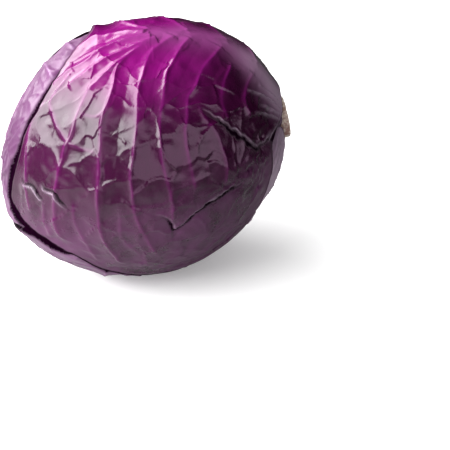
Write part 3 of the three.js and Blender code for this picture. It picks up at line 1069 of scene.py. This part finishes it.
def leafSkin(name, skin):
    # waxy red cabbage skin: the smooth cuticle gives sharp bright gloss over purple,
    # and its thin bloom of wax greys the colour and softens the gloss
    material, tree, shader, position = startMaterial("waxyCabbageSkin_" + name)
    add = partial(addNode, tree)
    maths, mixing, ramp = "ShaderNodeMath", "ShaderNodeMix", "ShaderNodeMapRange"
    grown = {
        key: add("ShaderNodeAttribute", {"attribute_name": key}, out="Fac")
        for key in leafPaint["grown"]
    }
    grain = grainOf(tree, position, leafPaint["grain"])

    # masks: painted glow mixed with the skin's own tone, bloom, and the painted highlight on lips
    # and ridges
    # painted glow: brighter round one spot of the leaf, mixed with broad random tone and a touch
    # along the veins
    paintedGlowAndTone = add(maths, times, {0: grain["broad"], 1: 0.5})
    paintedGlowAndTone = add(maths, timesPlus, {0: grown["warm"], 1: 0.8, 2: paintedGlowAndTone})
    paintedGlowAndTone = add(maths, timesPlus, {0: grown["vein"], 1: 0.2, 2: paintedGlowAndTone})
    paintedGlowAndTone = add(ramp, smooth, {0: paintedGlowAndTone, 1: 0.2, 2: 1.1})
    bloomed = add(maths, timesPlus, {0: grain["broad"], 1: 0.5, 2: grain["patch"]})
    bloomed = add(ramp, smooth, {0: bloomed, 1: 0.35, 2: 0.95})
    offVein = add(maths, timesPlus, {0: grown["vein"], 1: -0.6, 2: 1.0})
    bloomed = add(maths, times, {0: bloomed, 1: offVein})
    dusted = add(maths, times, {0: grown["bloomy"], 1: skin["bloomAmount"]})
    bloomed = add(maths, times, {0: bloomed, 1: dusted})
    ribBase = add(maths, times, {0: grown["rib"], 1: grown["nearStem"]})
    # painted highlight, broken into patches
    highlightBreakup = add(ramp, smooth, {0: grain["patch"], 1: 0.35, 2: 0.7, 3: 0.3, 4: 0.9})
    pale = add(maths, times, {0: grown["lip"], 1: highlightBreakup})

    # colours laid over one another, each by its mask and strength
    layers = (
        (paintedGlowAndTone, 1.0, skin["bright"]),
        (grown["cord"], 0.4, skin["vein"]),
        (bloomed, 1.0, skin["bloom"]),
        (grown["rib"], 0.8, skin["rib"]),
        (ribBase, 0.9, leafPaint["ribBase"]),
        (pale, 1.0, leafPaint["lip"]),
        # painted shade on the edge and in the cracks
        (grown["rim"], 0.85, leafPaint["rim"]),
        (grown["crevice"], 0.93, leafPaint["crevice"]),
    )
    colour = linear(skin["deep"])
    for mask, strength, paint in layers:
        share = add(maths, times, {0: mask, 1: strength})
        colour = add(mixing, colours, {0: share, 6: colour, 7: linear(paint)}, out=2)
    tree.links.new(colour, shader.inputs["Base Color"])

    # gloss: duller where it is bloomed, none in a crack or on the cut rim
    rough = add(maths, timesPlus, {0: grain["patch"], 1: 0.12, 2: skin["roughness"] - 0.06})
    rough = add(maths, timesPlus, {0: bloomed, 1: 0.15, 2: rough})
    shaded = add(maths, greater, {0: grown["crevice"], 1: grown["rim"]})
    rough = add(maths, {**plus, "use_clamp": True}, {0: rough, 1: shaded})
    tree.links.new(rough, shader.inputs["Roughness"])
    height = add(maths, times, {0: grain["fine"], 1: 0.5})
    height = add(maths, timesPlus, {0: grain["patch"], 1: 1.2, 2: height})
    normal = add("ShaderNodeBump", None, {"Strength": 0.35, "Distance": 0.4 * mm, "Height": height})
    tree.links.new(normal, shader.inputs["Normal"])
    shader.inputs["IOR"].default_value = leafPaint["ior"]
    return material


def crackShade():
    # painted shade for the deep gap between two leaves: matt, near black, with no shine at all
    material, tree, shader, position = startMaterial("shadedGapBetweenLeaves")
    patch = grainOf(tree, position, {"patch": (4, 3, 0.5)})["patch"]
    colour = addNode(tree, "ShaderNodeMix", colours, {
        0: patch, 6: linear("#050005"), 7: linear("#1a0416"),
    }, out=2)
    tree.links.new(colour, shader.inputs["Base Color"])
    shader.inputs["Roughness"].default_value = 1.0
    shader.inputs["Specular IOR Level"].default_value = 0.0
    return material


def stemFlesh():
    # dry cut cabbage stem: matt fibrous cream flesh, specked brown, ruddier on its side
    material, tree, shader, position = startMaterial("dryCutStem")
    add = partial(addNode, tree)
    mixing, ramp = "ShaderNodeMix", "ShaderNodeMapRange"
    grain = grainOf(tree, position, {"patch": (5, 4, 0.6), "speck": (1.1, 3, 0.6)})
    cream = add(mixing, colours, {
        0: add(ramp, smooth, {0: grain["patch"], 1: 0.35, 2: 0.7}),
        6: linear("#f4ecdf"), 7: linear("#dac8b2"),
    }, out=2)
    specked = add(mixing, colours, {
        0: add(ramp, smooth, {0: grain["speck"], 1: 0.58, 2: 0.75, 3: 0.0, 4: 0.5}),
        6: cream, 7: linear("#8a6a58"),
    }, out=2)
    ruddy = add(mixing, colours, {
        0: add(ramp, smooth, {0: grain["patch"], 1: 0.4, 2: 0.6}),
        6: linear("#f0e4d2"), 7: linear("#a57f74"),
    }, out=2)
    cutFace = add("ShaderNodeAttribute", {"attribute_name": "cutFace"}, out="Fac")
    colour = add(mixing, colours, {0: cutFace, 6: ruddy, 7: specked}, out=2)
    tree.links.new(colour, shader.inputs["Base Color"])
    shader.inputs["Roughness"].default_value = 0.75
    normal = add("ShaderNodeBump", None, {
        "Strength": 0.5, "Distance": 0.5 * mm, "Height": grain["speck"],
    })
    tree.links.new(normal, shader.inputs["Normal"])
    return material


def innerSkin():
    # inner leaves in shade: the same waxy skin, darker, with a broad dull gloss
    material, tree, shader, position = startMaterial("shadedInnerLeaf")
    patch = grainOf(tree, position, {"patch": (12, 4, 0.6)})["patch"]
    colour = addNode(tree, "ShaderNodeMix", colours, {
        0: patch, 6: linear("#300428"), 7: linear("#6b2464"),
    }, out=2)
    tree.links.new(colour, shader.inputs["Base Color"])
    shader.inputs["Roughness"].default_value = 0.4
    return material


gapShade = crackShade()
for number, name in enumerate(leafNames):
    blade = buildLeaf(name, 100 + 13 * number)
    blade.data.materials.append(leafSkin(name, leafSkins[name]))
    blade.data.materials.append(gapShade)
    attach(blade, "root")
    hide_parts(name)

inner = buildBall("inner_head")
inner.data.materials.append(innerSkin())
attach(inner, "root")
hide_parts("inner_head")
print("tight ball ready")

flesh = stemFlesh()
core = buildStem("cut_stem")
core.data.materials.append(flesh)
for piece in (buildFibres("cut_stem", flesh), core):
    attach(piece, "root")
    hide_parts("cut_stem")
print("cut stem ready")

# floor, light and camera; places and sizes in metres, angles in degrees
studio = {
    "floorHalf": 8.0,
    "floorColour": "#efefef", "floorGlow": "#808080",    # as it is looked at
    "floorNear": "#acacac", "floorFar": "#343434",       # as the head's gloss shows it: a painted pool of light, bright near the head and dim farther off
    "floorNearAt": (-0.16, 0.02, 0.0), "floorFade": (0.16, 0.5),
    "keyAt": (173, 41), "keySize": (2.1, 0.85), "keyRadiance": 9.5,
    "cardAt": (1.58, -1.2, 0.54), "cardSize": (3.95, 1.06), "cardRadiance": 2.1,
    "cardColour": (1.0, 0.74, 0.96),
    "airLeft": 1.5, "airRight": 0.3, "airBehind": 1.1,
    "lens": 100.0,
    "lift": 30.0,
    "turn": -7.8,
    "distance": 0.731,
    "headOffset": (-0.0480, 0.0453),   # the head's centre from the middle of the view
}


def buildFloor():
    half = studio["floorHalf"]
    corners = np.array([(-half, -half, 0), (half, -half, 0), (half, half, 0), (-half, half, 0)])
    floor = meshObject("floor", corners / mm, [[0, 1, 2, 3]])
    material, tree, shader, position = startMaterial("paleFloor")
    # painted pool of light: the colour dims with distance from a spot beside the head
    fromHead = addNode(tree, "ShaderNodeVectorMath", {"operation": "DISTANCE"}, {
        0: position, 1: studio["floorNearAt"],
    }, out="Value")
    near, far = studio["floorFade"]
    dimming = addNode(tree, "ShaderNodeMapRange", smooth, {0: fromHead, 1: near, 2: far})
    around = addNode(tree, "ShaderNodeMix", colours, {
        0: dimming, 6: linear(studio["floorNear"]), 7: linear(studio["floorFar"]),
    }, out=2)
    seen = addNode(tree, "ShaderNodeLightPath", out="Is Camera Ray")
    colour = addNode(tree, "ShaderNodeMix", colours, {
        0: seen, 6: around, 7: linear(studio["floorColour"]),
    }, out=2)
    glow = addNode(tree, "ShaderNodeMix", colours, {
        0: seen, 6: linear("#000000"), 7: linear(studio["floorGlow"]),
    }, out=2)
    tree.links.new(colour, shader.inputs["Base Color"])
    tree.links.new(glow, shader.inputs["Emission Color"])
    shader.inputs["Emission Strength"].default_value = 1.0
    shader.inputs["Roughness"].default_value = 0.6
    floor.data.materials.append(material)
    return floor


floor = buildFloor()


def softbox(name, place, size, radiance, facing=None):
    # a soft light at a place, turned to the head unless told otherwise
    place = Vector(place)
    away = -Vector(facing) if facing else place - Vector((0, 0, 0.075))
    lamp = bpy.data.lights.new(name, "AREA")
    lamp.shape = "RECTANGLE"
    lamp.size, lamp.size_y = size
    lamp.energy = radiance * math.pi * size[0] * size[1]
    made = bpy.data.objects.new(name, lamp)
    made.location = place
    made.rotation_euler = away.to_track_quat("Z", "Y").to_euler()
    made.visible_camera = False
    bpy.context.scene.collection.objects.link(made)
    return made


def buildAir():
    # pale air: brighter from the left, white behind the head, dark in its gloss
    world = bpy.data.worlds.new("studioAir")
    world.use_nodes = True
    tree = world.node_tree
    bright = tree.nodes["Background"]
    towards = addNode(tree, "ShaderNodeTexCoord", out="Generated")
    leftward = addNode(tree, "ShaderNodeSeparateXYZ", None, {"Vector": towards}, out="X")
    sides = addNode(tree, "ShaderNodeMapRange", smooth, {
        0: leftward, 1: -0.9, 2: 0.9, 3: studio["airLeft"], 4: studio["airRight"],
    })
    seen = addNode(tree, "ShaderNodeLightPath", out="Is Camera Ray")
    behind = addNode(tree, "ShaderNodeMath", times, {0: seen, 1: studio["airBehind"]})
    strength = addNode(tree, "ShaderNodeMath", greater, {0: sides, 1: behind})
    bright.inputs["Color"].default_value = linear("#ffffff")
    tree.links.new(strength, bright.inputs["Strength"])
    dark = addNode(tree, "ShaderNodeBackground", None, {"Strength": 0.0})
    glossy = addNode(tree, "ShaderNodeLightPath", out="Is Glossy Ray")
    blend = addNode(tree, "ShaderNodeMixShader", None, {
        0: glossy, 1: bright.outputs[0], 2: dark,
    })
    tree.links.new(blend, tree.nodes["World Output"].inputs["Surface"])
    return world


softbox("keySoftbox", unitVector(*studio["keyAt"]), studio["keySize"], studio["keyRadiance"])
frontCard = softbox(
    "frontCard", studio["cardAt"], studio["cardSize"], studio["cardRadiance"], facing=(0, 1, 0),
)
frontCard.data.color = studio["cardColour"]
frontCard.visible_diffuse = False      # it shows in the gloss alone, and lights nothing
bpy.context.scene.world = buildAir()

camera = bpy.data.cameras.new("camera")
camera.lens = studio["lens"]
camera.sensor_width = 36
cameraObject = bpy.data.objects.new("camera", camera)
bpy.context.scene.collection.objects.link(cameraObject)
bpy.context.scene.camera = cameraObject
turn, lift = math.radians(studio["turn"]), math.radians(studio["lift"])
level = math.cos(lift)
back = Vector((math.sin(turn) * level, -math.cos(turn) * level, math.sin(lift)))
right = (-back).cross(Vector((0, 0, 1))).normalized()
up = right.cross(-back)
aside, above = studio["headOffset"]
place = Vector(headCentre * mm) - aside * right - above * up + studio["distance"] * back
cameraObject.matrix_world = placement(right, up, back, place)
bpy.context.scene.view_settings.view_transform = "Standard"
print("studio ready")
